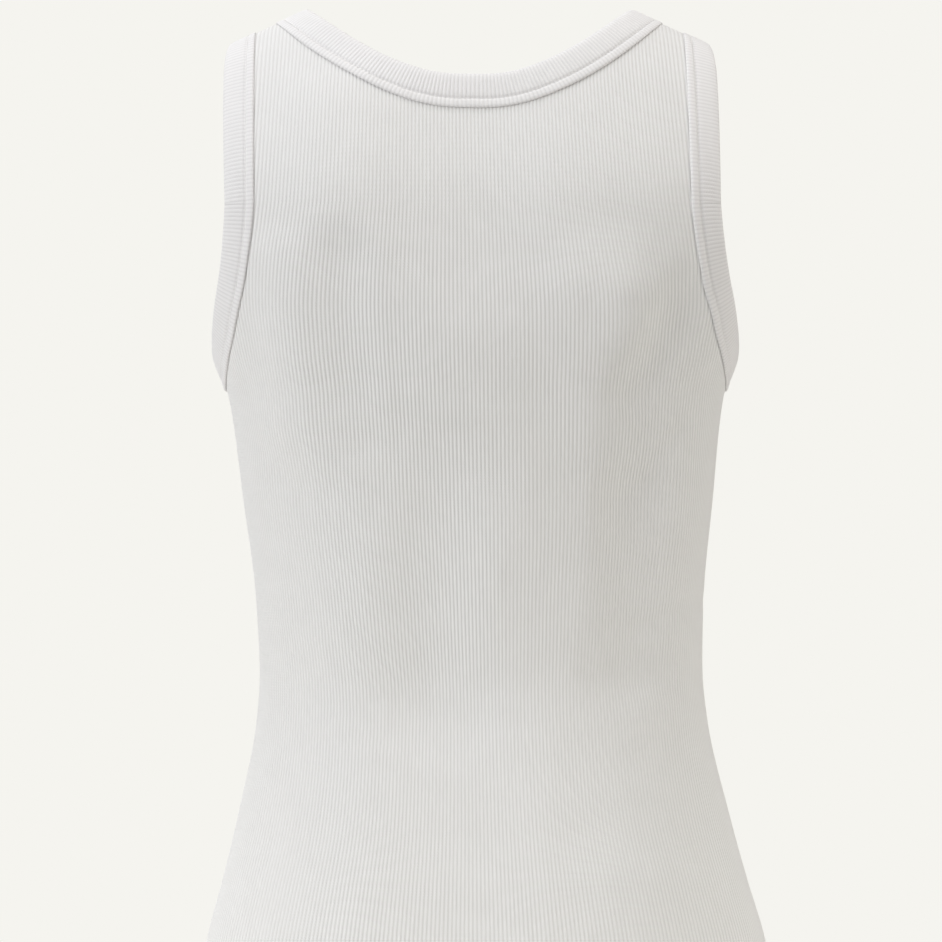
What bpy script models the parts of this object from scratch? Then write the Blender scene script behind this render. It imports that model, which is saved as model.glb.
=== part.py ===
"""A ribbed tank top, filled out as if worn, with nobody in it.

A back and a front panel meet at two side seams and two short shoulder seams.
A folded strip binds the raw edge of the neck and of each armhole.
The garment's back faces +Y and its left side +X, and the origin is where the
shoulders carry the straps.
"""
import math
from collections import namedtuple

import bmesh
import bpy
import numpy as np
from mathutils import Vector
from mathutils.geometry import delaunay_2d_cdt

MM = 0.001  # every size below is in millimetres

# Driving dimensions
WALL = 1.2  # panel thickness
BINDING_WALL = 1.0  # thickness of each leg of a folded binding
CLEARANCE = 0.3  # between a binding and the panel it closes over
SEAM_GAP = 0.6  # between the outer faces of the panels at a side seam
BINDING_WIDTH = 21.5  # from the body side of a binding to its fold
HEM = -640.0  # height of the bottom edge
YOKE_BASE = -115.0  # above this height the cloth turns over the shoulder
YOKE_RISE = 130.0  # length of that quarter turn, up to the shoulder seam
SEAM_LEVEL = YOKE_BASE + YOKE_RISE
PANEL_TOP = SEAM_LEVEL - 0.7  # each panel stops this far short of the shoulder seam
SIDE_LEAN = 0.0183  # the whole garment leans this much sideways for each unit of height

# The shoulder seam falls away from the neck in a nearly straight line
NECK_POINT_HEIGHT = 12.8
NECK_POINT_X = 104.0
SHOULDER_SLOPE = 0.4557
SHOULDER_ROUNDING = 12.0

# Half-width, depths and squareness of the garment at each height; the side seam
# lies at side, and the back and front reach their depths behind and before it.
Section = namedtuple("Section", "height half_width side back front squareness")
SECTIONS = (
    Section(-640, 189.5, -18, 132, 105, 2.3),
    Section(-583, 179.5, -19, 130, 103, 2.3),
    Section(-544, 168.6, -20, 126, 100, 2.3),
    Section(-505, 158.6, -21, 119, 97, 2.25),
    Section(-442, 145.1, -21, 105, 93, 2.2),
    Section(-410, 142.5, -20, 100, 94, 2.2),
    Section(-365, 143.8, -16, 99, 100, 2.2),
    Section(-300, 150.6, -11, 100, 112, 2.2),
    Section(-237, 158.0, -8, 103, 118, 2.25),
    Section(-205, 169.0, -6, 104, 116, 2.3),
    Section(-174, 181.0, -4, 103, 112, 2.3),
    Section(-115, 194.0, -1, 94, 98, 2.3),
    Section(-50, 194.0, 0, 78, 80, 2.3),
    Section(20, 194.0, 0, 64, 64, 2.3),
)

# Shoulder blades, hollow of the back and largest folds, on the back (1) or front (-1):
# troughs, or ridges where the depth is negative, along straight lines
Fold = namedtuple("Fold", "face x_from height_from x_to height_to half_width depth")
FOLDS = (
    Fold(1, 80, -150, 74, -262, 27, 3.8),
    Fold(1, 34, -270, 14, -430, 44, 3.6),
    Fold(1, -134, -172, -100, -232, 22, 3.2),
    Fold(1, -100, -222, -112, -400, 34, 3.4),
    Fold(1, 84, -60, 90, -250, 52, -5.2),
    Fold(1, 120, -150, 114, -250, 26, -2.4),
    Fold(1, -84, -175, -90, -250, 50, -5.0),
    Fold(1, -98, -175, -94, -215, 26, -2.0),
    Fold(1, -8, -60, -6, -150, 58, 3.6),
    Fold(1, -5, -200, 0, -320, 70, -1.6),
    Fold(1, 12, -440, 14, -640, 66, 4.4),
    Fold(1, -100, -540, -95, -640, 50, -1.8),
    Fold(-1, 108, -178, 84, -262, 26, 2.8),
    Fold(-1, -112, -170, -78, -286, 24, 3.2),
    Fold(-1, 92, -330, 48, -402, 22, 2.3),
    Fold(-1, -60, -420, -20, -520, 34, 2.0),
)

# The body side of the neck binding, from the centre of each face to the shoulder
NECK_HALF_WIDTH = 123.5
NECK_SPREAD = 2.0  # how much wider the binding lies at the centre than at the shoulder
Neckline = namedtuple("Neckline", "drop roundness")
NECKLINES = {1: Neckline(100.0, 1.0), -1: Neckline(167.0, 0.9)}

# The body side of the armhole binding, from the underarm to the shoulder
UNDERARM = -231.0
SHOULDER_POINT_X = 136.5
Armhole = namedtuple("Armhole", "chest_x hollow")
ARMHOLES = {1: Armhole(136.0, 1.85), -1: Armhole(127.0, 2.0)}
SHOULDER_PULL = 3.6  # how much the armhole's edge draws in where it crosses the shoulder
SHOULDER_PULL_REACH = 34.0

# How finely the cloth is faceted
STATIONS = {"neck": {1: 13, -1: 15}, "armhole": {1: 19, -1: 19}}
GRID_STEP = 19.5
GRID_COLUMNS = 12
HALF_GIRTH = 205.0

CLOTH = (0.80, 0.80, 0.79, 1.0)
BACK, FRONT = 1, -1


def section_at(height):
    """Every column of SECTIONS at the given heights, with no overshoot between rows."""
    rows = np.array(SECTIONS)
    levels, values = rows[:, 0], rows[:, 1:]
    steps = np.diff(levels)
    rises = np.diff(values, axis=0) / steps[:, None]
    slopes = np.zeros_like(values)
    product = rises[:-1] * rises[1:]
    total = rises[:-1] + rises[1:]
    slopes[1:-1] = np.where(product > 0, 2 * product / np.where(total == 0, 1, total), 0)
    slopes[0], slopes[-1] = rises[0], rises[-1]
    row = np.clip(np.searchsorted(levels, height) - 1, 0, len(levels) - 2)
    span = steps[row][:, None]
    t = (height - levels[row])[:, None] / span
    start = (2 * t**3 - 3 * t**2 + 1) * values[row] + (t**3 - 2 * t**2 + t) * span * slopes[row]
    end = (3 * t**2 - 2 * t**3) * values[row + 1] + (t**3 - t**2) * span * slopes[row + 1]
    return (start + end).T


def ring_angle(across, half_width, reach, squareness):
    """The superellipse's own angle at a fraction of the way from centre to side seam."""
    samples = np.sin(np.linspace(0, math.pi / 2, 61)) ** 2 * math.pi / 2
    power = 2 / squareness[:, None]
    x = half_width[:, None] * np.sin(samples) ** power
    y = reach[:, None] * np.cos(samples) ** power
    run = np.cumsum(np.hypot(np.diff(x), np.diff(y)), axis=1)
    run = np.hstack([np.zeros((len(run), 1)), run])
    target = np.abs(across) * run[:, -1]
    after = np.clip((run < target[:, None]).sum(axis=1), 1, len(samples) - 1)
    pick = np.arange(len(run))
    before = run[pick, after - 1]
    part = (target - before) / (run[pick, after] - before)
    angle = samples[after - 1] + part * (samples[after] - samples[after - 1])
    return np.clip(angle, 0, math.pi / 2 - 1e-9)


def seam_height(x):
    """Height of the shoulder seam, rounded where both sides would meet."""
    return NECK_POINT_HEIGHT - SHOULDER_SLOPE * (np.hypot(x, SHOULDER_ROUNDING) - NECK_POINT_X)


def form(face, across, level):
    """The smooth form: across is -1..1 between side seams, level is height, then turn."""
    ring_level = np.minimum(level, YOKE_BASE)
    half_width, side, back, front, squareness = section_at(ring_level)
    reach = back if face == BACK else front
    angle = ring_angle(across, half_width, reach, squareness)
    x = np.sign(across) * half_width * np.sin(angle) ** (2 / squareness)
    turn = np.clip(level - YOKE_BASE, 0, None) / YOKE_RISE * math.pi / 2
    z = ring_level + (seam_height(x) - YOKE_BASE) * np.sin(turn)
    half_width, side, back, front, squareness = section_at(z)
    reach = back if face == BACK else front
    bulge = np.clip(1 - np.abs(x / half_width) ** squareness, 0, None) ** (1 / squareness)
    flank = np.cos(angle) ** (2 / squareness)
    y = side + face * reach * np.where(level < YOKE_BASE, flank, bulge)
    return np.stack([x + SIDE_LEAN * z, y * np.cos(turn), z], axis=-1)


def slopes_at(face, across, level):
    """How a point of the form moves with across and with level."""
    step_across, step_level = 1e-4, 0.05
    inner = np.clip(across, step_across - 1, 1 - step_across)
    by_across = form(face, inner + step_across, level) - form(face, inner - step_across, level)
    below = np.minimum(level, SEAM_LEVEL - step_level)
    by_level = form(face, across, below + step_level) - form(face, across, below - step_level)
    return by_across / (2 * step_across), by_level / (2 * step_level)


def unit(vectors):
    return vectors / np.linalg.norm(vectors, axis=-1, keepdims=True)


def normals_at(face, across, level):
    by_across, by_level = slopes_at(face, across, level)
    return unit(np.cross(by_across, by_level)) * -face


def fold_depth(face, points):
    """Depth of the folds below the smooth form."""
    depth = np.zeros(len(points))
    spots = points[:, [0, 2]]
    for fold in FOLDS:
        if fold.face != face:
            continue
        start = np.array([fold.x_from, fold.height_from])
        run = np.array([fold.x_to, fold.height_to]) - start
        along = np.clip((spots - start) @ run / (run @ run), 0, 1)
        away = np.linalg.norm(spots - start - along[:, None] * run, axis=1)
        depth += fold.depth * np.clip(1 - (away / fold.half_width) ** 2, 0, None) ** 2
    return depth


def cloth(face, across, level, lift=0.0):
    """Points of a panel's outer face, moved out by lift."""
    across, level = np.asarray(across, float), np.asarray(level, float)
    points = form(face, across, level)
    shift = lift - fold_depth(face, points)
    return points + normals_at(face, across, level) * shift[:, None]


def across_of(face, x):
    """The across value at which the yoke passes through a given x."""
    tries = np.linspace(0, 1, 401)
    found = form(face, tries, np.full(tries.shape, YOKE_BASE))[:, 0] - SIDE_LEAN * YOKE_BASE
    return np.interp(x, found, tries)


def evenly(face, path, count):
    """A path of (across, level) pairs, resampled to stations evenly spaced on the cloth."""
    points = form(face, *path)
    run = np.concatenate([[0], np.cumsum(np.linalg.norm(np.diff(points, axis=0), axis=1))])
    stops = np.linspace(0, run[-1], count + 1)
    return np.array([np.interp(stops, run, column) for column in path])


def neck_path(face):
    """The body side of the neck binding on one face, from its right shoulder to its left."""
    line = NECKLINES[face]
    bend = np.linspace(0, math.pi / 2, 200)
    level = SEAM_LEVEL - line.drop * np.cos(bend) ** line.roundness
    across = across_of(face, NECK_HALF_WIDTH * np.sin(bend))
    half = np.array([across, np.minimum(level, SEAM_LEVEL)])
    half[1, -1] = PANEL_TOP
    half = evenly(face, half, STATIONS["neck"][face])
    mirrored = half[:, :0:-1] * np.array([[-1], [1]])
    return np.hstack([mirrored, half])


def armhole_path(face, side):
    """The body side of one armhole binding on one face, from underarm to shoulder."""
    hole = ARMHOLES[face]
    chest = across_of(face, hole.chest_x)
    rise = np.linspace(0, 1, 240) ** 2
    hollow = (1 - (1 - rise) ** hole.hollow) ** (1 / hole.hollow)
    lower = np.array([1 - (1 - chest) * hollow, UNDERARM + (YOKE_BASE - UNDERARM) * rise])
    turn = np.linspace(0, 1, 60)[1:]
    ease = np.sin(turn * math.pi / 2) ** 2
    x = hole.chest_x + (SHOULDER_POINT_X - hole.chest_x) * ease
    upper = np.array([across_of(face, x), YOKE_BASE + YOKE_RISE * turn])
    path = np.hstack([lower, upper])
    path[1, -1] = PANEL_TOP
    path[0] = np.minimum(path[0], seam_across(face, path[1]))
    path = evenly(face, path, STATIONS["armhole"][face])
    return path * np.array([[side], [1]])


def seam_across(face, level):
    """Where a panel stops short of its side seam."""
    by_across, _ = slopes_at(face, np.full(level.shape, 0.999), level)
    return 1 - SEAM_GAP / 2 / np.linalg.norm(by_across, axis=-1)


def widen(face, path, tangent, distance):
    """Moves a path over the cloth, square to itself, by the distance at each station."""
    across, level = path.copy()
    steps = 10
    for _ in range(steps):
        by_across, by_level = slopes_at(face, across, level)
        normal = unit(np.cross(by_across, by_level))
        heading = unit(np.cross(normal, tangent)) * (distance / steps)[:, None]
        grid = np.stack([by_across, by_level], axis=-1)
        change = np.einsum("nij,nj->ni", np.linalg.pinv(grid), heading)
        across, level = across + change[:, 0], level + change[:, 1]
    level = np.minimum(level, PANEL_TOP)
    limit = seam_across(face, level)
    return np.array([np.clip(across, -limit, limit), level])


def path_tangents(face, path):
    """Tangents along a path; at both ends it crosses a seam squarely, along Y."""
    tangent = np.gradient(form(face, *path), axis=0)
    for end in (0, -1):
        tangent[end] = (0, np.sign(tangent[end, 1]), 0)
    return unit(tangent)


def binding_lines(face, path, towards, width):
    """The path and its copies under the binding, out to the panel's cut edge and the fold."""
    tangent = path_tangents(face, path) * towards
    cut = width - BINDING_WALL - CLEARANCE
    distances = (0 * cut, cut / 2, cut, cut + CLEARANCE)
    return [widen(face, path, tangent, distance) for distance in distances]


def neck_lines(face):
    path = neck_path(face)
    spread = NECK_SPREAD * (1 - np.linspace(-1, 1, path.shape[1]) ** 2)
    return binding_lines(face, path, 1, BINDING_WIDTH + spread)


def armhole_lines(face, side):
    path = armhole_path(face, side)
    pull = SHOULDER_PULL * np.exp(-(((SEAM_LEVEL - path[1]) / SHOULDER_PULL_REACH) ** 2))
    return binding_lines(face, path, -side, BINDING_WIDTH - pull)


def new_object(name, mesh_data, collection):
    """Turns a bmesh, in millimetres, into a named object in metres with its own cloth."""
    bmesh.ops.scale(mesh_data, vec=(MM, MM, MM), verts=mesh_data.verts)
    mesh = bpy.data.meshes.new(name)
    mesh_data.to_mesh(mesh)
    mesh_data.free()
    material = bpy.data.materials.new(name + "_ribbed_cotton")
    material.use_nodes = True
    shader = material.node_tree.nodes["Principled BSDF"]
    shader.inputs["Base Color"].default_value = CLOTH
    shader.inputs["Roughness"].default_value = 0.9
    shader.inputs["Metallic"].default_value = 0.0
    mesh.materials.append(material)
    mesh.shade_smooth()
    mesh.set_sharp_from_angle(angle=math.radians(50))
    thing = bpy.data.objects.new(name, mesh)
    collection.objects.link(thing)
    return thing


def thicken(thing, thickness, direction, even=False):
    """Gives an open surface its thickness, outwards (+1) or inwards (-1)."""
    solidify = thing.modifiers.new("thickness", "SOLIDIFY")
    solidify.thickness = thickness * MM
    solidify.offset = direction
    solidify.use_even_offset = even


def strip_faces(mesh, rows):
    """Triangles between neighbouring rows, split alike so that moved copies stay parallel."""
    for one, other in zip(rows, rows[1:]):
        for k in range(len(one) - 1):
            mesh.faces.new([one[k], one[k + 1], other[k + 1]])
            mesh.faces.new([one[k], other[k + 1], other[k]])


def face_outwards(mesh, sample, outwards):
    """Makes an open surface's normals agree, with those of sample pointing outwards."""
    bmesh.ops.recalc_face_normals(mesh, faces=mesh.faces)
    total = sum((face.normal * face.calc_area() for face in sample), Vector())
    if total.dot(Vector(outwards)) < 0:
        bmesh.ops.reverse_faces(mesh, faces=mesh.faces)


def panel_outline(face, lines):
    """The panel inside its bindings, anticlockwise from the hem's right corner."""
    right_hole, neck, left_hole = lines["right"][0], lines["neck"][0], lines["left"][0]
    side_levels = np.linspace(HEM, UNDERARM, 1 + round((UNDERARM - HEM) / GRID_STEP))[:-1]
    side = np.array([seam_across(face, side_levels), side_levels])
    hem_across = np.linspace(-side[0, 0], side[0, 0], 2 * GRID_COLUMNS + 1)[1:-1]
    hem = np.array([hem_across, np.full(hem_across.shape, HEM)])
    other_side = side * np.array([[-1], [1]])
    return np.hstack([hem, side, left_hole, neck[:, ::-1], right_hole[:, ::-1], other_side[:, ::-1]])


def inside_points(outline, flat):
    """A staggered grid of (across, level) points that keeps clear of the outline."""
    edge = flat(outline)
    closed = np.vstack([edge, edge[:1]])
    span = closed[1:] - closed[:-1]
    run = (span**2).sum(axis=1)
    rise = np.where(span[:, 1] == 0, 1, span[:, 1])
    kept = []
    for row, level in enumerate(np.arange(HEM + GRID_STEP, SEAM_LEVEL, GRID_STEP)):
        for column in range(-GRID_COLUMNS, GRID_COLUMNS + 1):
            spot = np.array([[(column + row % 2 / 2) / GRID_COLUMNS], [level]])
            point = flat(spot)[0]
            part = np.clip(((point - closed[:-1]) * span).sum(axis=1) / run, 0, 1)
            away = np.linalg.norm(closed[:-1] + part[:, None] * span - point, axis=1).min()
            straddles = (closed[:-1, 1] > point[1]) != (closed[1:, 1] > point[1])
            crossing = closed[:-1, 0] + (point[1] - closed[:-1, 1]) * span[:, 0] / rise
            inside = (straddles & (crossing > point[0])).sum() % 2 == 1
            if inside and away > GRID_STEP / 2:
                kept.append(spot)
    return np.hstack(kept)


def laid_flat(spots):
    """The panel laid out on a plane, close to its true lengths."""
    return np.stack([spots[0] * HALF_GIRTH, spots[1]], axis=-1)


def make_panel(name, face, collection):
    """One panel: a triangulated middle, with strips that run in under the bindings."""
    lines = {
        "neck": neck_lines(face),
        "left": armhole_lines(face, 1),
        "right": armhole_lines(face, -1),
    }
    outline = panel_outline(face, lines)
    spots = np.hstack([outline, inside_points(outline, laid_flat)])
    count = outline.shape[1]
    edges = [(k, (k + 1) % count) for k in range(count)]
    laid = delaunay_2d_cdt([Vector(p) for p in laid_flat(spots)], edges, [], 1, 1e-4)
    triangles, sources = laid[2], [spots[:, ids[0]] for ids in laid[3]]
    mesh = bmesh.new()
    middle = [mesh.verts.new(point) for point in cloth(face, *np.transpose(sources))]
    for triangle in triangles:
        mesh.faces.new([middle[k] for k in triangle])
    corner_at = {tuple(spot.round(6)): corner for spot, corner in zip(sources, middle)}
    for edging in lines.values():
        edge = [corner_at[tuple(spot)] for spot in edging[0].T.round(6)]
        under = [[mesh.verts.new(p) for p in cloth(face, *line)] for line in edging[1:3]]
        strip_faces(mesh, [edge] + under)
    face_outwards(mesh, mesh.faces, (0, face, 0))
    panel = new_object(name, mesh, collection)
    thicken(panel, WALL, -1)
    return panel


def make_binding(name, lines_by_face, collection):
    """A strip folded over a cut edge, made from the panels' own points, moved out and in."""
    mesh = bmesh.new()
    sections = []
    for face, lines in lines_by_face.items():
        outer = [cloth(face, *lines[k], CLEARANCE) for k in (0, 1, 3)]
        inner = [cloth(face, *lines[k], -WALL - CLEARANCE) for k in (0, 1, 3)]
        outer, inner = [[[mesh.verts.new(p) for p in row] for row in leg] for leg in (outer, inner)]
        strip_faces(mesh, outer)
        strip_faces(mesh, inner)
        strip_faces(mesh, [outer[-1], inner[-1]])
        sections.append(outer + inner[::-1])
    for end in (0, -1):
        strip_faces(mesh, [[row[end] for row in section] for section in sections])
    mesh.faces.ensure_lookup_table()
    outwards = sections[0][0][0].co - sections[0][-1][0].co
    face_outwards(mesh, mesh.faces[:1], outwards)
    binding = new_object(name, mesh, collection)
    thicken(binding, BINDING_WALL, 1, even=True)
    return binding


def clear_scene():
    for thing in list(bpy.data.objects):
        bpy.data.objects.remove(thing, do_unlink=True)


def build():
    clear_scene()
    collection = bpy.data.collections.new("tank_top")
    bpy.context.scene.collection.children.link(collection)
    make_panel("back_panel", BACK, collection)
    make_panel("front_panel", FRONT, collection)
    neck = {face: neck_lines(face) for face in (BACK, FRONT)}
    make_binding("neck_binding", neck, collection)
    for name, side in (("left", 1), ("right", -1)):
        hole = {face: armhole_lines(face, side) for face in (BACK, FRONT)}
        make_binding("armhole_binding_" + name, hole, collection)


build()
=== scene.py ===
"""A white ribbed tank top, filled out as if worn, with nobody in it.

The knitted panels and their folded bindings are built here at full detail, over
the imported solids.  The garment's back faces +Y and its left side +X.
"""

import math
from collections import namedtuple

import bpy
import numpy as np
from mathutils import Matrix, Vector


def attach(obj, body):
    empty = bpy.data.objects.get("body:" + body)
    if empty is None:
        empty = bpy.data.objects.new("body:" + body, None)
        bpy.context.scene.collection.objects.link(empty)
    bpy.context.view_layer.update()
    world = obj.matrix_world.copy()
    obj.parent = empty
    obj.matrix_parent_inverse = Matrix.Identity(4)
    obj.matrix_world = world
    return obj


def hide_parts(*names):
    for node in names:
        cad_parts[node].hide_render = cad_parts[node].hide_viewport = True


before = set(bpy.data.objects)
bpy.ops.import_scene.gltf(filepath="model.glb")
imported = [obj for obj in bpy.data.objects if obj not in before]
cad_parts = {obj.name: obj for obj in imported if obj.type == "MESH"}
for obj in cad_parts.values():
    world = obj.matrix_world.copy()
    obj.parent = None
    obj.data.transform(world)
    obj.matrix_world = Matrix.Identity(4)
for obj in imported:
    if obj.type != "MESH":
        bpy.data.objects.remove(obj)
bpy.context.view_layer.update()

# ---------------------------------------------------------------------------
# Back panel.  One piece of white cotton rib, cut with its wales upright and worn
# a little stretched, so the wales spread over the hips and close up at the waist.
# It is sewn to the front at the sides and shoulders, and its hem is turned up.
# ---------------------------------------------------------------------------
MM = 0.001  # every size below is in millimetres
BACK, FRONT = 1, -1

HEM = -640.0
YOKE_BASE = -115.0  # above this height the cloth turns over the shoulder
YOKE_RISE = 130.0  # levels from there to the shoulder seam, a quarter turn
SEAM_LEVEL = YOKE_BASE + YOKE_RISE
SIDE_LEAN = 0.0183  # how far the whole top leans to its left for each millimetre up
NECK_POINT_HEIGHT = 12.8
NECK_POINT_X = 104.0
SHOULDER_SLOPE = 0.4557
SHOULDER_ROUNDING = 12.0

# Half width, depths and squareness of the top at each height: the side seam lies at
# side, and the back and front reach their depths behind and before it
Section = namedtuple("Section", "height half_width side back front squareness")
SECTIONS = (
    Section(-640, 189.5, -18, 132, 105, 2.3),
    Section(-583, 179.5, -19, 130, 103, 2.3),
    Section(-544, 168.6, -20, 126, 100, 2.3),
    Section(-505, 158.6, -21, 119, 97, 2.25),
    Section(-442, 145.1, -21, 105, 93, 2.2),
    Section(-410, 142.5, -20, 100, 94, 2.2),
    Section(-365, 143.8, -16, 99, 100, 2.2),
    Section(-300, 150.6, -11, 100, 112, 2.2),
    Section(-237, 158.0, -8, 103, 118, 2.25),
    Section(-205, 169.0, -6, 104, 116, 2.3),
    Section(-174, 181.0, -4, 103, 112, 2.3),
    Section(-115, 194.0, -1, 94, 98, 2.3),
    Section(-50, 194.0, 0, 78, 80, 2.3),
    Section(20, 194.0, 0, 64, 64, 2.3),
)

# Folds, the hollow of the back and the fullness over the shoulder blades: troughs, or
# ridges where the depth is negative, along straight lines
Fold = namedtuple("Fold", "face x_from height_from x_to height_to half_width depth")
FOLDS = (
    Fold(BACK, 80, -150, 74, -262, 27, 3.8),
    Fold(BACK, 34, -270, 14, -430, 44, 3.6),
    Fold(BACK, -134, -172, -100, -232, 22, 3.2),
    Fold(BACK, -100, -222, -112, -400, 34, 3.4),
    Fold(BACK, 84, -60, 90, -250, 52, -5.2),
    Fold(BACK, 120, -150, 114, -250, 26, -2.4),
    Fold(BACK, -84, -175, -90, -250, 50, -5.0),
    Fold(BACK, -98, -175, -94, -215, 26, -2.0),
    Fold(BACK, -8, -60, -6, -150, 58, 3.6),
    Fold(BACK, -5, -200, 0, -320, 70, -1.6),
    Fold(BACK, 12, -440, 14, -640, 66, 4.4),
    Fold(BACK, -100, -540, -95, -640, 50, -1.8),
    Fold(FRONT, 108, -178, 84, -262, 26, 2.8),
    Fold(FRONT, -112, -170, -78, -286, 24, 3.2),
    Fold(FRONT, 92, -330, 48, -402, 22, 2.3),
    Fold(FRONT, -60, -420, -20, -520, 34, 2.0),
)

CREASES = (  # softer drags beside those folds, and small gathers at the waist and underarms
    Fold(BACK, -132, -200, -104, -300, 32, 2.6),
    Fold(BACK, -104, -300, -93, -410, 32, 2.4),
    Fold(BACK, 4, -285, 44, -425, 42, 3.2),
    Fold(BACK, 70, -160, 58, -255, 28, 1.2),
    Fold(BACK, 74, -380, 43, -422, 7, 0.9),
    Fold(BACK, 118, -374, 92, -391, 8, -0.6),
    Fold(BACK, 86, -428, 29, -462, 9, 0.7),
    Fold(BACK, 46, -429, -31, -438, 8, 0.5),
    Fold(BACK, 24, -466, -18, -478, 8, -0.5),
    Fold(BACK, 10, -553, -39, -567, 10, 0.7),
    Fold(BACK, -146, -366, -108, -380, 8, 0.9),
    Fold(BACK, -128, -418, -82, -409, 8, 0.6),
    Fold(BACK, 138, -262, 104, -298, 9, 0.8),
    Fold(BACK, -138, -246, -112, -290, 8, 0.9),
    Fold(FRONT, 128, -244, 92, -286, 9, 1.0),
    Fold(FRONT, -132, -240, -104, -302, 9, 0.9),
    Fold(FRONT, 62, -398, 8, -416, 9, 0.7),
    Fold(FRONT, -40, -384, -104, -372, 8, 0.8),
    Fold(FRONT, -22, -452, -84, -440, 9, 0.6),
    Fold(FRONT, 110, -566, 54, -556, 10, 0.6),
)


def between_rows(table, height):
    """Every column of a table at the given heights, with no overshoot between rows."""
    rows = np.array(table)
    levels, values = rows[:, 0], rows[:, 1:]
    steps = np.diff(levels)
    rises = np.diff(values, axis=0) / steps[:, None]
    slopes = np.zeros_like(values)
    product = rises[:-1] * rises[1:]
    total = rises[:-1] + rises[1:]
    slopes[1:-1] = np.where(product > 0, 2 * product / np.where(total == 0, 1, total), 0)
    slopes[0], slopes[-1] = rises[0], rises[-1]
    row = np.clip(np.searchsorted(levels, height) - 1, 0, len(levels) - 2)
    span = steps[row][:, None]
    t = (height - levels[row])[:, None] / span
    start = (2 * t**3 - 3 * t**2 + 1) * values[row] + (t**3 - 2 * t**2 + t) * span * slopes[row]
    end = (3 * t**2 - 2 * t**3) * values[row + 1] + (t**3 - t**2) * span * slopes[row + 1]
    return (start + end).T


def ring_angle(across, half_width, reach, squareness):
    """The superellipse's own angle at a fraction of the way from centre to side seam."""
    samples = np.sin(np.linspace(0, math.pi / 2, 61)) ** 2 * math.pi / 2
    power = 2 / squareness[:, None]
    x = half_width[:, None] * np.sin(samples) ** power
    y = reach[:, None] * np.cos(samples) ** power
    run = np.cumsum(np.hypot(np.diff(x), np.diff(y)), axis=1)
    run = np.hstack([np.zeros((len(run), 1)), run])
    target = np.abs(across) * run[:, -1]
    after = np.clip((run < target[:, None]).sum(axis=1), 1, len(samples) - 1)
    pick = np.arange(len(run))
    before = run[pick, after - 1]
    part = (target - before) / (run[pick, after] - before)
    angle = samples[after - 1] + part * (samples[after] - samples[after - 1])
    return np.clip(angle, 0, math.pi / 2 - 1e-9)


def seam_height(x):
    """Height of the shoulder seam, rounded where both sides would meet."""
    return NECK_POINT_HEIGHT - SHOULDER_SLOPE * (np.hypot(x, SHOULDER_ROUNDING) - NECK_POINT_X)


def form(face, across, level):
    """The smooth form: across is -1..1 between side seams, level is height, then turn."""
    ring_level = np.minimum(level, YOKE_BASE)
    half_width, side, back, front, squareness = between_rows(SECTIONS, ring_level)
    reach = back if face == BACK else front
    angle = ring_angle(across, half_width, reach, squareness)
    x = np.sign(across) * half_width * np.sin(angle) ** (2 / squareness)
    turn = np.clip(level - YOKE_BASE, 0, None) / YOKE_RISE * math.pi / 2
    z = ring_level + (seam_height(x) - YOKE_BASE) * np.sin(turn)
    half_width, side, back, front, squareness = between_rows(SECTIONS, z)
    reach = back if face == BACK else front
    bulge = np.clip(1 - np.abs(x / half_width) ** squareness, 0, None) ** (1 / squareness)
    flank = np.cos(angle) ** (2 / squareness)
    y = side + face * reach * np.where(level < YOKE_BASE, flank, bulge)
    return np.stack([x + SIDE_LEAN * z, y * np.cos(turn), z], axis=-1)


def slopes_at(face, across, level):
    """How a point of the form moves with across and with level."""
    step_across, step_level = 1e-4, 0.05
    inner = np.clip(across, step_across - 1, 1 - step_across)
    by_across = form(face, inner + step_across, level) - form(face, inner - step_across, level)
    below = np.minimum(level, SEAM_LEVEL - step_level)
    by_level = form(face, across, below + step_level) - form(face, across, below - step_level)
    return by_across / (2 * step_across), by_level / (2 * step_level)


def unit(vectors):
    return vectors / np.linalg.norm(vectors, axis=-1, keepdims=True)


def fold_depth(face, points):
    """Depth of the folds and creases below the smooth form."""
    depth = np.zeros(len(points))
    spots = points[:, [0, 2]]
    for fold in FOLDS + CREASES:
        if fold.face != face:
            continue
        start = np.array([fold.x_from, fold.height_from])
        run = np.array([fold.x_to, fold.height_to]) - start
        along = np.clip((spots - start) @ run / (run @ run), 0, 1)
        away = np.linalg.norm(spots - start - along[:, None] * run, axis=1)
        depth += fold.depth * np.clip(1 - (away / fold.half_width) ** 2, 0, None) ** 2
    return depth


def cloth(face, across, level, lift):
    """Points on a panel, moved out by lift from its smooth outer face."""
    points = form(face, across, level)
    by_across, by_level = slopes_at(face, across, level)
    outwards = unit(np.cross(by_across, by_level)) * -face
    shift = lift - fold_depth(face, points)
    return points + outwards * shift[:, None]


# The body sides of the bindings, which the panels run in under
BINDING_WIDTH = 21.5
NECK_HALF_WIDTH = 123.5
Neckline = namedtuple("Neckline", "drop roundness")
NECK_SPREAD = 2.0  # how much wider the binding lies at the centre than at the shoulder
NECKLINES = {BACK: Neckline(100.0, 1.0), FRONT: Neckline(167.0, 0.9)}
UNDERARM = -231.0
SHOULDER_POINT_X = 136.5
Armhole = namedtuple("Armhole", "chest_x hollow")
ARMHOLES = {BACK: Armhole(136.0, 1.85), FRONT: Armhole(127.0, 2.0)}
SHOULDER_PULL = 3.6  # how much the armhole's edge draws in where it crosses the shoulder
SHOULDER_PULL_REACH = 34.0
WIDEN_STEP = 1.5  # how far a line is moved over the cloth at a time


def across_of(face, x):
    """The across value at which the yoke passes through a given x."""
    tries = np.linspace(0, 1, 401)
    found = form(face, tries, np.full(tries.shape, YOKE_BASE))[:, 0] - SIDE_LEAN * YOKE_BASE
    return np.interp(x, found, tries)


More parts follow.
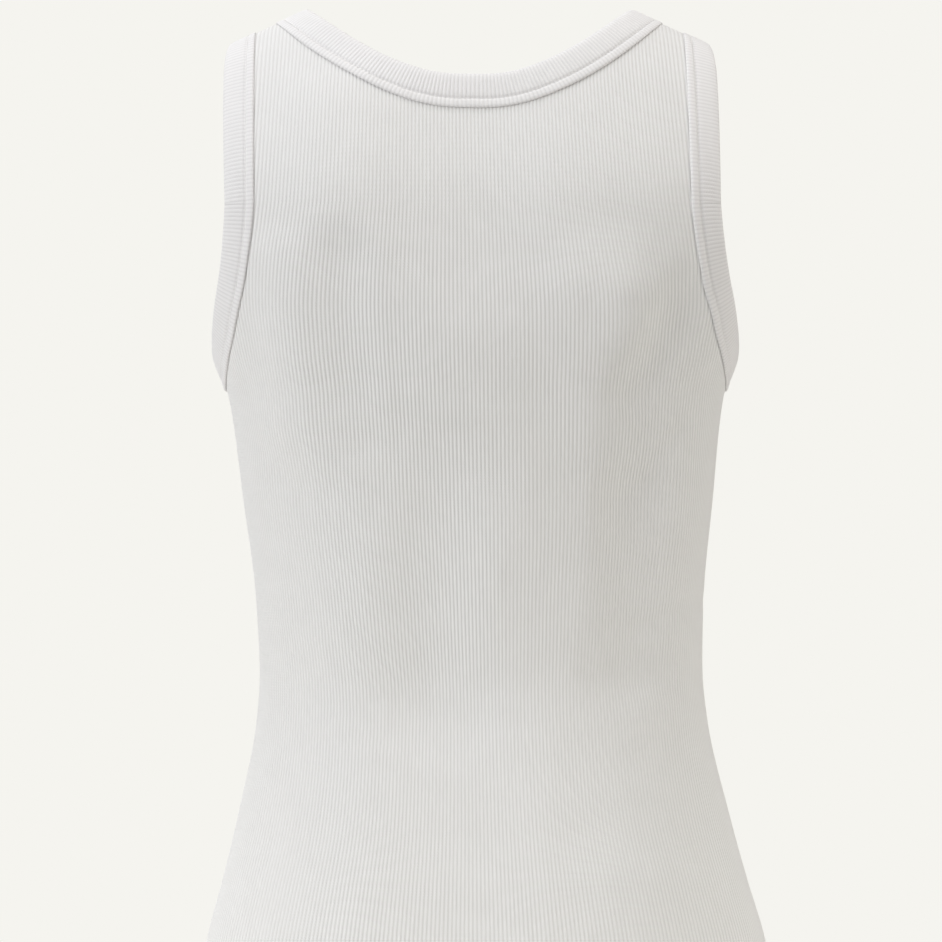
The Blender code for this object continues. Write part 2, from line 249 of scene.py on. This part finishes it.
def evenly(face, path, count):
    """A path of (across, level) pairs, resampled to stations evenly spaced on the cloth."""
    points = form(face, *path)
    run = np.concatenate([[0], np.cumsum(np.linalg.norm(np.diff(points, axis=0), axis=1))])
    stops = np.linspace(0, run[-1], count + 1)
    return np.array([np.interp(stops, run, column) for column in path])


def neck_path(face, count):
    """The body side of the neck binding on one face, from its right shoulder to its left."""
    line = NECKLINES[face]
    bend = np.linspace(0, math.pi / 2, 400)
    level = SEAM_LEVEL - line.drop * np.cos(bend) ** line.roundness
    across = across_of(face, NECK_HALF_WIDTH * np.sin(bend))
    half = evenly(face, np.array([across, level]), count // 2)
    mirrored = half[:, :0:-1] * np.array([[-1], [1]])
    return np.hstack([mirrored, half])


def armhole_path(face, side, count):
    """The body side of one armhole binding on one face, from underarm to shoulder."""
    hole = ARMHOLES[face]
    chest = across_of(face, hole.chest_x)
    rise = np.linspace(0, 1, 400) ** 2
    hollow = (1 - (1 - rise) ** hole.hollow) ** (1 / hole.hollow)
    lower = np.array([1 - (1 - chest) * hollow, UNDERARM + (YOKE_BASE - UNDERARM) * rise])
    turn = np.linspace(0, 1, 160)[1:]
    ease = np.sin(turn * math.pi / 2) ** 2
    x = hole.chest_x + (SHOULDER_POINT_X - hole.chest_x) * ease
    upper = np.array([across_of(face, x), YOKE_BASE + YOKE_RISE * turn])
    return evenly(face, np.hstack([lower, upper]), count) * np.array([[side], [1]])


def widen(face, path, shares, towards, width):
    """Copies of a path, moved square to it over the cloth by each share of the width."""
    tangent = np.gradient(form(face, *path), axis=0)
    for end in (0, -1):
        tangent[end] = (0, np.sign(tangent[end, 1]), 0)
    tangent = unit(tangent) * towards
    across, level = path.copy()
    reached, lines = 0.0, []
    for share in shares:
        steps = max(1, round(abs(share - reached) * BINDING_WIDTH / WIDEN_STEP))
        for _ in range(steps):
            by_across, by_level = slopes_at(face, across, level)
            normal = unit(np.cross(by_across, by_level))
            step = width * (share - reached) / steps
            heading = unit(np.cross(normal, tangent)) * step[:, None]
            grid = np.stack([by_across, by_level], axis=-1)
            change = np.einsum("nij,nj->ni", np.linalg.pinv(grid), heading)
            across, level = across + change[:, 0], level + change[:, 1]
        across, level = np.clip(across, -1, 1), np.minimum(level, SEAM_LEVEL)
        reached = share
        lines.append(np.array([across, level]))
    return lines


def neck_width(path):
    return BINDING_WIDTH + NECK_SPREAD * (1 - np.linspace(-1, 1, path.shape[1]) ** 2)


def armhole_width(path):
    pull = SHOULDER_PULL * np.exp(-(((SEAM_LEVEL - path[1]) / SHOULDER_PULL_REACH) ** 2))
    return BINDING_WIDTH - pull


def hex_linear(code):
    """An sRGB hex colour as linear RGBA."""
    parts = [int(code[k : k + 2], 16) / 255 for k in (0, 2, 4)]
    return [c / 12.92 if c <= 0.04045 else ((c + 0.055) / 1.055) ** 2.4 for c in parts] + [1.0]


def add_node(tree, kind, settings=None, **inputs):
    """Adds a node, sets its properties, and fills its inputs with values or links.
    An input goes by its name, or by its number as i0, i1 and so on."""
    node = tree.nodes.new(kind)
    for name, value in (settings or {}).items():
        setattr(node, name, value)
    for name, value in inputs.items():
        numbered = name[0] == "i" and name[1:].isdigit()
        socket = node.inputs[int(name[1:]) if numbered else name]
        if isinstance(value, bpy.types.NodeSocket):
            tree.links.new(value, socket)
        else:
            socket.default_value = value
    return node


COURSE = 1.7  # one row of knitted loops, drawn twice its real height so that it shows
LOOP_SLANT = 1.4  # how steeply a loop's legs run down from the middle of its wale
LOOP_DEPTH = 0.05
FUZZ_DEPTH = 0.22
FIBRES_PER_MM = 1.4  # loose fibres, drawn as coarse as they need to show
SLUBS_PER_MM = 0.06  # the yarn's thicker stretches, some 17 mm apart


def cotton_rib(name, colour, shade, wale_depth):
    """Combed cotton rib, circular knitted and bleached.  The eye sees round matt wales,
    each a column of small V-shaped loops, dim furrows between them, and a faint fuzz.
    The colour is darkened towards the furrows as painted shade, and varies at random with the
    slubs.
    The map runs one unit for each wale across and one for each millimetre along."""
    material = bpy.data.materials.new(name)
    material.use_nodes = True
    tree = material.node_tree
    shader = tree.nodes["Principled BSDF"]
    shader.inputs["Roughness"].default_value = 0.95
    shader.inputs["IOR"].default_value = 1.5
    shader.inputs["Specular IOR Level"].default_value = 0.25
    shader.inputs["Sheen Weight"].default_value = 0.18
    shader.inputs["Sheen Roughness"].default_value = 0.6
    place = add_node(tree, "ShaderNodeUVMap", {"uv_map": "wales"})
    split = add_node(tree, "ShaderNodeSeparateXYZ", i0=place.outputs["UV"])
    wale = add_node(tree, "ShaderNodeMath", {"operation": "FRACT"}, i0=split.outputs["X"])
    centred = add_node(
        tree, "ShaderNodeMath", {"operation": "SUBTRACT"}, i0=wale.outputs[0], i1=0.5
    )
    beside = add_node(tree, "ShaderNodeMath", {"operation": "ABSOLUTE"}, i0=centred.outputs[0])
    slant = add_node(
        tree, "ShaderNodeMath", {"operation": "MULTIPLY"}, i0=beside.outputs[0], i1=LOOP_SLANT
    )
    rows = add_node(
        tree, "ShaderNodeMath", {"operation": "DIVIDE"}, i0=split.outputs["Y"], i1=COURSE
    )
    chevron = add_node(
        tree, "ShaderNodeMath", {"operation": "ADD"}, i0=rows.outputs[0], i1=slant.outputs[0]
    )
    phase = add_node(
        tree, "ShaderNodeMath", {"operation": "MULTIPLY"}, i0=chevron.outputs[0], i1=math.tau
    )
    loops = add_node(tree, "ShaderNodeMath", {"operation": "SINE"}, i0=phase.outputs[0])
    crown = add_node(
        tree, "ShaderNodeMapRange", {"interpolation_type": "SMOOTHSTEP"},
        i0=beside.outputs[0], i1=0.5, i2=0.12, i3=0.0, i4=1.0,
    )
    spot = add_node(tree, "ShaderNodeTexCoord")
    fuzz = add_node(
        tree, "ShaderNodeTexNoise",
        Vector=spot.outputs["Object"], Scale=FIBRES_PER_MM / MM, Detail=2.0,
    )
    slub = add_node(
        tree, "ShaderNodeTexNoise",
        Vector=spot.outputs["Object"], Scale=SLUBS_PER_MM / MM, Detail=3.0,
    )
    loop_height = add_node(
        tree, "ShaderNodeMath", {"operation": "MULTIPLY"}, i0=loops.outputs[0], i1=LOOP_DEPTH
    )
    wale_height = add_node(
        tree, "ShaderNodeMath", {"operation": "MULTIPLY"}, i0=crown.outputs[0], i1=wale_depth
    )
    fuzz_height = add_node(
        tree, "ShaderNodeMath", {"operation": "MULTIPLY"}, i0=fuzz.outputs["Fac"], i1=FUZZ_DEPTH
    )
    raised = add_node(
        tree, "ShaderNodeMath", {"operation": "ADD"},
        i0=loop_height.outputs[0], i1=wale_height.outputs[0],
    )
    height = add_node(
        tree, "ShaderNodeMath", {"operation": "ADD"},
        i0=raised.outputs[0], i1=fuzz_height.outputs[0],
    )
    bump = add_node(
        tree, "ShaderNodeBump", Height=height.outputs[0], Strength=0.6, Distance=1.0 * MM
    )
    tree.links.new(bump.outputs["Normal"], shader.inputs["Normal"])
    uneven = add_node(
        tree, "ShaderNodeMapRange", i0=slub.outputs["Fac"], i1=0.3, i2=0.7, i3=0.0, i4=0.10
    )
    # painted shade: the colour darkens towards the furrows between the wales, where shade falls
    painted_furrow_shade = add_node(
        tree, "ShaderNodeMapRange", i0=crown.outputs[0], i1=0.0, i2=1.0, i3=0.6, i4=0.0
    )
    dim = add_node(
        tree, "ShaderNodeMath", {"operation": "ADD", "use_clamp": True},
        i0=uneven.outputs[0], i1=painted_furrow_shade.outputs[0],
    )
    mix = add_node(
        tree, "ShaderNodeMix", {"data_type": "RGBA"},
        Factor=dim.outputs[0], i6=hex_linear(colour), i7=hex_linear(shade),
    )
    tree.links.new(mix.outputs[2], shader.inputs["Base Color"])
    return material


WALES = 170  # wales across one panel, the same from hem to shoulder
COLUMNS = 4  # mesh columns across one wale
WALE_PROFILE = (-0.25, 0.11, 0.19, 0.11)  # height from furrow, over the crown, to the next furrow
PANEL_THICKNESS = 1.2
HEM_TURNING = 20.0
HEM_NEEDLES = (16.6, 19.8)  # heights of the two stitched rows above the edge
HEM_ROWS = (  # mesh rows above the edge, closest beside the stitches
    0, 0.8, 2.5, 6, 10, 13.5, 15.4, 16.2, 17.0, 18.2, 19.4, 20.2, 21.2, 22.4, 24.5, 28, 33,
)
ROW_STEP = 6.2
HEM_SWELL = 0.25  # how far the turned hem stands out
STITCH_DENT = 0.45  # what a row of stitches presses into the cloth
STITCH_DENT_WIDTH = 0.7
SEAM_DIP = 0.7
SEAM_ROLL = 1.6  # how far from a seam the cloth begins to roll into it
SEAM_INSET = 0.05  # half the gap between the two panels at a seam
HALF_GIRTH = 205.0  # cloth from the middle of a panel to its side seam
YOKE_CLOTH = 0.7  # cloth for each level near the shoulder seam
SIDE_DRAW = 0.5  # how much flatter the wales are drawn where the cloth turns round the side
SIDE_DRAW_START = 0.7
SIDE_DRAW_EASE = 0.2
PANEL_EDGE = 0.55  # the share of a binding's width that the panel runs in under it
Grain = namedtuple("Grain", "height middle relief")
GRAIN = (  # spacing of the middle wales, as a share of an even spread, and how high they stand
    Grain(-640, 0.92, 0.75),
    Grain(-570, 0.91, 0.72),
    Grain(-506, 0.89, 0.66),
    Grain(-442, 0.94, 0.64),
    Grain(-378, 1.00, 0.73),
    Grain(-314, 1.03, 0.85),
    Grain(-250, 1.01, 1.00),
    Grain(-186, 0.95, 0.98),
    Grain(-121, 0.85, 0.82),
    Grain(-50, 0.80, 0.70),
    Grain(20, 0.78, 0.45),
)
cotton = cotton_rib("bleached_cotton_rib", colour="EEEDEC", shade="DBD9D7", wale_depth=0.25)


def panel_levels():
    """Heights of the mesh rows: close together at the hem, even above it."""
    first = HEM + HEM_ROWS[-1]
    count = round((SEAM_LEVEL - first) / ROW_STEP)
    above = np.linspace(first, SEAM_LEVEL, count + 1)
    return np.concatenate([HEM + np.array(HEM_ROWS[:-1]), above])


def outer_lift(across, level, column):
    """Height of the outer face: wales, hem stitching and the roll into each seam."""
    drawn = 1 - SIDE_DRAW * np.clip((np.abs(across) - SIDE_DRAW_START) / SIDE_DRAW_EASE, 0, 1)
    wale = np.array(WALE_PROFILE)[column % COLUMNS] * between_rows(GRAIN, level)[1] * drawn
    above_edge = level - HEM
    dents = [np.exp(-(((above_edge - row) / STITCH_DENT_WIDTH) ** 2)) for row in HEM_NEEDLES]
    stitch = sum(dents)
    turned = HEM_SWELL * np.clip((HEM_TURNING + 1.5 - above_edge) / 2.0, 0, 1)
    to_side = (1 - np.abs(across)) * HALF_GIRTH
    to_shoulder = (SEAM_LEVEL - level) * YOKE_CLOTH
    seam = np.exp(-((to_side / SEAM_ROLL) ** 2)) + np.exp(-((to_shoulder / SEAM_ROLL) ** 2))
    flattened = wale * (1 - 0.6 * np.clip(stitch, 0, 1))
    return flattened + turned - STITCH_DENT * stitch - SEAM_DIP * seam


def inner_lift(level):
    """Depth of the inner face, which is a layer deeper behind the turned-up hem."""
    turned = np.clip((HEM_TURNING + 3.0 - (level - HEM)) / 1.2, 0, 1)
    return -PANEL_THICKNESS * (1 + turned)


def along_grain(wale, level):
    """The across value of a wale, from -1 to 1, on its way up the panel."""
    middle = between_rows(GRAIN, level)[0]
    return np.sign(wale) * (middle * np.abs(wale) + (1 - middle) * np.abs(wale) ** 5)


def kept_cells(face, levels):
    """Which cells, one wale by one row, lie on the panel: it ends inside its bindings."""
    hole_path, neck_line = armhole_path(face, 1, 200), neck_path(face, 300)
    hole = widen(face, hole_path, [PANEL_EDGE], -1, armhole_width(hole_path))[0]
    neck = widen(face, neck_line, [PANEL_EDGE], 1, neck_width(neck_line))[0]
    level = np.repeat((levels[:-1] + levels[1:]) / 2, WALES)
    wale = np.tile((np.arange(WALES) + 0.5) / WALES * 2 - 1, len(levels) - 1)
    across = np.abs(along_grain(wale, level))
    rise = np.maximum.accumulate(hole[1])
    side_limit = np.where(level < rise[0], 2.0, np.interp(level, rise, hole[0]))
    half = neck[:, neck.shape[1] // 2 :]
    neck_limit = np.interp(across, np.maximum.accumulate(half[0]), half[1], right=2 * YOKE_RISE)
    return ((across < side_limit) & (level < neck_limit)).reshape(len(levels) - 1, WALES)


def make_panel(name, face):
    """A closed shell of one thickness: fine wales outside, one column a wale inside."""
    levels = panel_levels()
    rows = len(levels)
    fine = WALES * COLUMNS + 1
    limit = 1 - SEAM_INSET / HALF_GIRTH

    def grid(columns, inside):
        column = np.tile(np.arange(columns), rows)
        level = np.repeat(np.minimum(levels, SEAM_LEVEL - SEAM_INSET), columns)
        across = along_grain((column / (columns - 1) * 2 - 1) * limit, level)
        lift = inner_lift(level) if inside else outer_lift(across, level, column)
        wales = np.stack([column / (columns - 1) * WALES, level], axis=-1)
        return cloth(face, across, level, lift), wales

    outer, outer_map = grid(fine, False)
    inner, inner_map = grid(WALES + 1, True)
    points = np.vstack([outer, inner]) * MM
    maps = np.vstack([outer_map, inner_map])
    kept = kept_cells(face, levels)
    padded = np.pad(kept, 1)
    faces = []
    for row, wale in zip(*np.nonzero(kept)):
        low = [row * fine + wale * COLUMNS + k for k in range(COLUMNS + 1)]
        high = [corner + fine for corner in low]
        in_low = [len(outer) + row * (WALES + 1) + wale + k for k in range(2)]
        in_high = [corner + WALES + 1 for corner in in_low]
        faces += [[low[k], low[k + 1], high[k + 1], high[k]] for k in range(COLUMNS)]
        faces.append([in_low[0], in_high[0], in_high[1], in_low[1]])
        if not padded[row, wale + 1]:
            faces.append(low[::-1] + in_low)
        if not padded[row + 2, wale + 1]:
            faces.append(high + in_high[::-1])
        if not padded[row + 1, wale]:
            faces.append([low[0], high[0], in_high[0], in_low[0]])
        if not padded[row + 1, wale + 2]:
            faces.append([high[-1], low[-1], in_low[1], in_high[1]])
    if face == BACK:
        faces = [corners[::-1] for corners in faces]
    return mesh_piece(name, points, faces, maps)


def mesh_piece(name, points, faces, maps):
    """A smooth mesh object from points, faces and the map that its knit follows."""
    used = np.unique(np.concatenate(faces))
    renumber = np.zeros(len(points), int)
    renumber[used] = np.arange(len(used))
    mesh = bpy.data.meshes.new(name)
    mesh.from_pydata(points[used].tolist(), [], [renumber[corners].tolist() for corners in faces])
    layer = mesh.uv_layers.new(name="wales")
    corner_points = np.zeros(len(mesh.loops), int)
    mesh.loops.foreach_get("vertex_index", corner_points)
    layer.data.foreach_set("uv", maps[used][corner_points].astype(np.float32).ravel())
    mesh.shade_smooth()
    piece = bpy.data.objects.new(name, mesh)
    bpy.context.scene.collection.objects.link(piece)
    return piece


THREAD = 0.34  # thickness
THREAD_TAPER = np.array([0.45, 0.9, 1.0, 0.9, 0.45])  # from one end of a stitch to the other
THREAD_SIDES = 6
STITCH_PITCH = 3.0
STITCH_LENGTH = 2.3
STITCH_RISE = 0.26
STITCH_SINK = 0.10  # how deep a stitch's ends go into the cloth
HEM_STITCH_LIFT = -0.10


def on_line(stops, run, points):
    """Points of a line at the given distances along it."""
    return np.stack([np.interp(stops, run, column) for column in points.T], axis=-1)


def make_stitches(name, rows):
    """A row of separate stitches, each a short thread that dips into the cloth at its ends.
    A row is a line of points on the cloth, with the same line a millimetre further out."""
    rings, sides = len(THREAD_TAPER), THREAD_SIDES
    starts, ends, tops = [], [], []
    for line, raised in rows:
        run = np.concatenate([[0], np.cumsum(np.linalg.norm(np.diff(line, axis=0), axis=1))])
        count = int(run[-1] / STITCH_PITCH)
        first = (np.arange(count) + 0.12) * run[-1] / count
        middle = first + STITCH_LENGTH / 2
        starts.append(on_line(first, run, line))
        ends.append(on_line(first + STITCH_LENGTH, run, line))
        tops.append(on_line(middle, run, raised) - on_line(middle, run, line))
    start, end = np.concatenate(starts), np.concatenate(ends)
    outwards = unit(np.concatenate(tops))
    beside = np.cross(outwards, unit(end - start))
    part = np.linspace(0, 1, rings)
    rise = STITCH_RISE * np.sin(part * math.pi) ** 0.7 - STITCH_SINK
    middle_line = start[:, None] + (end - start)[:, None] * part[:, None]
    centre = middle_line + outwards[:, None] * rise[:, None]
    turn = np.arange(sides) / sides * math.tau
    ring = beside[:, None] * np.cos(turn)[:, None] + outwards[:, None] * np.sin(turn)[:, None]
    points = centre[:, :, None] + ring[:, None] * (THREAD / 2 * THREAD_TAPER)[:, None, None]
    base = np.arange(len(start))[:, None, None] * rings * sides
    row, side = np.meshgrid(np.arange(rings - 1), np.arange(sides), indexing="ij")
    low = row * sides + side
    beyond = row * sides + (side + 1) % sides
    quads = np.stack([low, beyond, beyond + sides, low + sides], axis=-1)
    faces = (quads.reshape(1, -1, 4) + base).reshape(-1, 4).tolist()
    for number in range(len(start)):
        first_ring = [number * rings * sides + k for k in range(sides)]
        faces.append(first_ring[::-1])
        faces.append([corner + (rings - 1) * sides for corner in first_ring])
    maps = np.zeros((points.size // 3, 2))
    maps[:, 1] = np.tile(np.repeat(part * STITCH_LENGTH, sides), len(start))
    return mesh_piece(name, points.reshape(-1, 3) * MM, faces, maps)


def hem_stitch_rows(face):
    """The twin rows that hold up the turned hem, one for each needle."""
    across = np.linspace(-0.99, 0.99, 900)
    rows = []
    for needle in HEM_NEEDLES:
        level = np.full(across.shape, HEM + needle)
        lift = np.full(across.shape, HEM_STITCH_LIFT)
        rows.append((cloth(face, across, level, lift), cloth(face, across, level, lift + 1)))
    return rows


def spun_thread(name, colour):
    """Spun polyester sewing thread in the cloth's own white: two plies, slightly shiny."""
    material = bpy.data.materials.new(name)
    material.use_nodes = True
    tree = material.node_tree
    shader = tree.nodes["Principled BSDF"]
    shader.inputs["Base Color"].default_value = hex_linear(colour)
    shader.inputs["Roughness"].default_value = 0.6
    shader.inputs["IOR"].default_value = 1.55
    place = add_node(tree, "ShaderNodeUVMap", {"uv_map": "wales"})
    twist = add_node(
        tree, "ShaderNodeTexWave", {"wave_type": "BANDS", "bands_direction": "DIAGONAL"},
        Vector=place.outputs["UV"], Scale=1.4, Distortion=0.4,
    )
    bump = add_node(
        tree, "ShaderNodeBump", Height=twist.outputs["Fac"], Strength=0.4, Distance=0.1 * MM
    )
    tree.links.new(bump.outputs["Normal"], shader.inputs["Normal"])
    return material


thread = spun_thread("white_sewing_thread", "F1F0EE")
back = make_panel("back_panel_rib", BACK)
back.data.materials.append(cotton)
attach(back, "root")
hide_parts("back_panel")
back_hem_stitching = make_stitches("back_hem_stitching", hem_stitch_rows(BACK))
back_hem_stitching.data.materials.append(thread)
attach(back_hem_stitching, "root")

# ---------------------------------------------------------------------------
# Front panel.  The same cotton rib with a lower, rounder neckline and armholes
# cut a little further in, sewn to the back at the sides and shoulders.
# ---------------------------------------------------------------------------
front = make_panel("front_panel_rib", FRONT)
front.data.materials.append(cotton)
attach(front, "root")
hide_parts("front_panel")
front_hem_stitching = make_stitches("front_hem_stitching", hem_stitch_rows(FRONT))
front_hem_stitching.data.materials.append(thread)
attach(front_hem_stitching, "root")

# ---------------------------------------------------------------------------
# Neck binding.  A strip of the same rib cut across the wales, folded in half over
# the raw neck edge with its own edges turned in, and topstitched near the body side.
# Its wales run across the strip; the row of stitches pulls a groove into it.
# ---------------------------------------------------------------------------
STITCH_LINE = 5.6  # from the body side of a binding to its row of stitches
GROOVE_LIFT = 0.62  # height of the cloth under that row
Edge = namedtuple("Edge", "distance lift rib")
BINDING_PROFILE = (  # round the strip: outer leg, fold, inner leg, and back inside
    Edge(0.0, 0.30, 0.0),
    Edge(0.0, 0.95, 0.1),
    Edge(0.5, 1.42, 0.3),
    Edge(1.7, 1.70, 0.6),
    Edge(2.7, 1.58, 0.5),
    Edge(3.8, 1.68, 0.6),
    Edge(4.8, 1.35, 0.4),
    Edge(5.3, GROOVE_LIFT, 0.1),
    Edge(5.9, GROOVE_LIFT, 0.1),
    Edge(6.5, 1.20, 0.6),
    Edge(7.4, 1.42, 1.0),
    Edge(10.0, 1.52, 1.0),
    Edge(13.0, 1.55, 1.0),
    Edge(16.0, 1.52, 0.85),
    Edge(18.3, 1.42, 0.5),
    Edge(20.1, 1.05, 0.15),
    Edge(21.2, 0.30, 0.0),
    Edge(21.5, -0.60, 0.0),
    Edge(21.1, -1.60, 0.0),
    Edge(20.0, -2.30, 0.2),
    Edge(17.5, -2.55, -0.8),
    Edge(10.0, -2.60, -1.0),
    Edge(7.0, -2.50, -0.6),
    Edge(5.6, -2.10, 0.0),
    Edge(4.2, -2.50, -0.2),
    Edge(1.0, -2.60, -0.2),
    Edge(0.0, -2.20, 0.0),
    Edge(0.2, -1.60, 0.0),
    Edge(10.0, -1.55, 0.0),
    Edge(20.1, -1.45, 0.0),
    Edge(20.5, -0.60, 0.0),
    Edge(20.1, 0.25, 0.0),
    Edge(10.0, 0.30, 0.0),
)
OUTER_LEG, INNER_LEG = 11, 21  # edges that lie one behind the other on the two legs
BINDING_WALE = 2.68
BINDING_WALE_PROFILE = (-0.26, 0.09, 0.17, 0.09)
SHOULDER_PRESS = 0.5  # how much flatter the strip is pressed at the shoulder seam
SHOULDER_PRESS_REACH = 34.0
PRESSED_ABOVE = 0.3  # only the edges that stand higher than this are pressed
SHOULDER_DRAW = 0.65  # how much its wales are drawn out there
SHOULDER_DRAW_REACH = 70.0


def binding_points(halves, profile):
    """Points round a binding: a row for each station, a column for each profile edge.
    It is pressed flatter at the shoulder seams, and its wales are drawn out there."""
    rings = []
    inwards = sorted({edge.distance for edge in profile})
    for number, (face, path, towards, width) in enumerate(halves):
        shares = [distance / BINDING_WIDTH for distance in inwards]
        lines = dict(zip(inwards, widen(face, path, shares, towards, width)))
        near_seam = SEAM_LEVEL - path[1]
        pressed = 1 - SHOULDER_PRESS * np.exp(-((near_seam / SHOULDER_PRESS_REACH) ** 2))
        drawn = 1 - SHOULDER_DRAW * np.exp(-((near_seam / SHOULDER_DRAW_REACH) ** 2))
        wale = np.array(BINDING_WALE_PROFILE)[np.arange(path.shape[1]) % COLUMNS] * drawn
        rows = []
        for edge in profile:
            height = edge.lift * (pressed if edge.lift > PRESSED_ABOVE else 1)
            rows.append(cloth(face, *lines[edge.distance], height + edge.rib * wale))
        half = np.stack(rows, axis=1)
        rings.append(half[:-1] if number == 0 else half[:0:-1])
    return np.concatenate(rings)


def make_binding(name, halves):
    """A folded strip round an opening, closed on itself and closed round its profile."""
    points = binding_points(halves, BINDING_PROFILE)
    stations, edges = points.shape[:2]
    station, edge = np.meshgrid(np.arange(stations), np.arange(edges), indexing="ij")
    corners = [
        station * edges + edge,
        station * edges + (edge + 1) % edges,
        (station + 1) % stations * edges + (edge + 1) % edges,
        (station + 1) % stations * edges + edge,
    ]
    faces = np.stack(corners, axis=-1).reshape(-1, 4)
    first = points[0]
    outside = first[OUTER_LEG] - first[INNER_LEG]
    over = first[OUTER_LEG + 1] - first[OUTER_LEG]
    turn = np.cross(over, points[1, OUTER_LEG] - first[OUTER_LEG])
    if turn @ outside < 0:
        faces = faces[:, ::-1]
    across_strip = np.array([item.distance for item in BINDING_PROFILE])
    maps = np.stack([station / COLUMNS, np.broadcast_to(across_strip, station.shape)], axis=-1)
    return mesh_piece(name, points.reshape(-1, 3) * MM, list(faces), maps.reshape(-1, 2))


def path_length(face, path):
    return np.linalg.norm(np.diff(form(face, *path), axis=0), axis=1).sum()


def wale_stations(face, path):
    """How many mesh stations a path needs, with a whole, even number of wales."""
    return 2 * COLUMNS * round(path_length(face, path) / BINDING_WALE / 2)


def binding_stitch_rows(halves):
    """The stitched line on the outer leg of a binding, on each face of the garment."""
    rows = []
    for face, path, towards, width in halves:
        line = widen(face, path, [STITCH_LINE / BINDING_WIDTH], towards, width)[0]
        lift = np.full(line.shape[1], GROOVE_LIFT)
        rows.append((cloth(face, *line, lift), cloth(face, *line, lift + 1)))
    return rows


# painted light: the bindings are the panels' own cloth, coloured lighter to stand in for the
# light that falls on them
binding_cotton_painted_lighter = cotton_rib(
    "bleached_cotton_binding_rib_painted_lighter", colour="F2F0F0", shade="E0DEDE", wale_depth=0.20
)
neck_halves = []
for face in (BACK, FRONT):
    count = wale_stations(face, neck_path(face, 200))
    path = neck_path(face, count)
    neck_halves.append((face, path, 1, neck_width(path)))
neck_binding = make_binding("neck_binding_rib", neck_halves)
neck_binding.data.materials.append(binding_cotton_painted_lighter)
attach(neck_binding, "root")
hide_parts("neck_binding")
neck_stitching = make_stitches("neck_binding_stitching", binding_stitch_rows(neck_halves))
neck_stitching.data.materials.append(thread)
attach(neck_stitching, "root")

# ---------------------------------------------------------------------------
# Armhole bindings.  The same folded strips, one round each armhole, topstitched
# along the body side, so that their edges stand a little proud at the sides.
# ---------------------------------------------------------------------------
for name, side in (("left", 1), ("right", -1)):
    halves = []
    for face in (BACK, FRONT):
        count = wale_stations(face, armhole_path(face, side, 200))
        path = armhole_path(face, side, count)
        halves.append((face, path, -side, armhole_width(path)))
    armhole = make_binding("armhole_binding_rib_" + name, halves)
    armhole.data.materials.append(binding_cotton_painted_lighter)
    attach(armhole, "root")
    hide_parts("armhole_binding_" + name)
    stitching = make_stitches("armhole_binding_stitching_" + name, binding_stitch_rows(halves))
    stitching.data.materials.append(thread)
    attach(stitching, "root")

# ---------------------------------------------------------------------------
# Studio.  A plain pale room with a small pale floor under the hem.  Of its five
# softboxes the key stands behind the garment's left, one at its right, one before
# it, and two hang overhead.
# ---------------------------------------------------------------------------
SURROUND = "F5F4EF"
world = bpy.data.worlds.new("pale_room")
world.use_nodes = True
bpy.context.scene.world = world
sky = world.node_tree
surround = sky.nodes["Background"]
surround.inputs["Color"].default_value = hex_linear(SURROUND)
ambient = add_node(sky, "ShaderNodeBackground", Color=hex_linear("F5F5F4"), Strength=0.32)
ray = add_node(sky, "ShaderNodeLightPath")
seen = add_node(sky, "ShaderNodeMixShader", Fac=ray.outputs["Is Camera Ray"])
sky.links.new(ambient.outputs[0], seen.inputs[1])
sky.links.new(surround.outputs[0], seen.inputs[2])
sky.links.new(seen.outputs[0], sky.nodes["World Output"].inputs["Surface"])

FLOOR_HEIGHT = -0.72
bpy.ops.mesh.primitive_circle_add(
    vertices=96, radius=0.9, fill_type="NGON", location=(0, 0, FLOOR_HEIGHT)
)
floor = bpy.context.object
floor.name = "pale_floor"
paint = bpy.data.materials.new("matt_pale_floor_paint")
paint.use_nodes = True
matt = paint.node_tree.nodes["Principled BSDF"]
matt.inputs["Base Color"].default_value = hex_linear(SURROUND)
matt.inputs["Roughness"].default_value = 0.9
floor.data.materials.append(paint)

LIGHTS_FACE = Vector((0, 0, -0.3))


def softbox(name, place, size, power, colour):
    """A square studio softbox, turned to face the garment."""
    lamp = bpy.data.lights.new(name, "AREA")
    lamp.shape = "SQUARE"
    lamp.size = size
    lamp.energy = power
    lamp.color = hex_linear(colour)[:3]
    holder = bpy.data.objects.new(name, lamp)
    holder.location = place
    holder.rotation_euler = (LIGHTS_FACE - Vector(place)).to_track_quat("-Z", "Y").to_euler()
    bpy.context.scene.collection.objects.link(holder)


softbox("key_softbox", (2.4, 1.5, 0.5), 1.5, 41.5, "FBFDFF")
softbox("overhead_softbox", (0, 0.3, 3.0), 1.5, 44.5, "FFFFFF")
softbox("high_softbox", (0, 2.2, 2.6), 1.8, 10.0, "FFFFFF")
softbox("side_softbox", (-2.4, 0.8, 0.4), 1.2, 20.0, "FFFAF0")
softbox("front_softbox", (1.3, -2.4, 0.7), 1.5, 24.0, "FFFFFF")

VIEW_DISTANCE = 2.6
VIEW_ACROSS, VIEW_HEIGHT = -0.001, -0.2822
FRAME_WIDTH = 0.6029  # what the view takes in at the garment's middle
lens = bpy.data.cameras.new("camera")
lens.lens = lens.sensor_width * VIEW_DISTANCE / FRAME_WIDTH
camera = bpy.data.objects.new("camera", lens)
camera.location = (VIEW_ACROSS, VIEW_DISTANCE, VIEW_HEIGHT)
camera.rotation_euler = (math.pi / 2, 0, math.pi)
bpy.context.scene.collection.objects.link(camera)
bpy.context.scene.camera = camera
bpy.context.scene.view_settings.view_transform = "Standard"
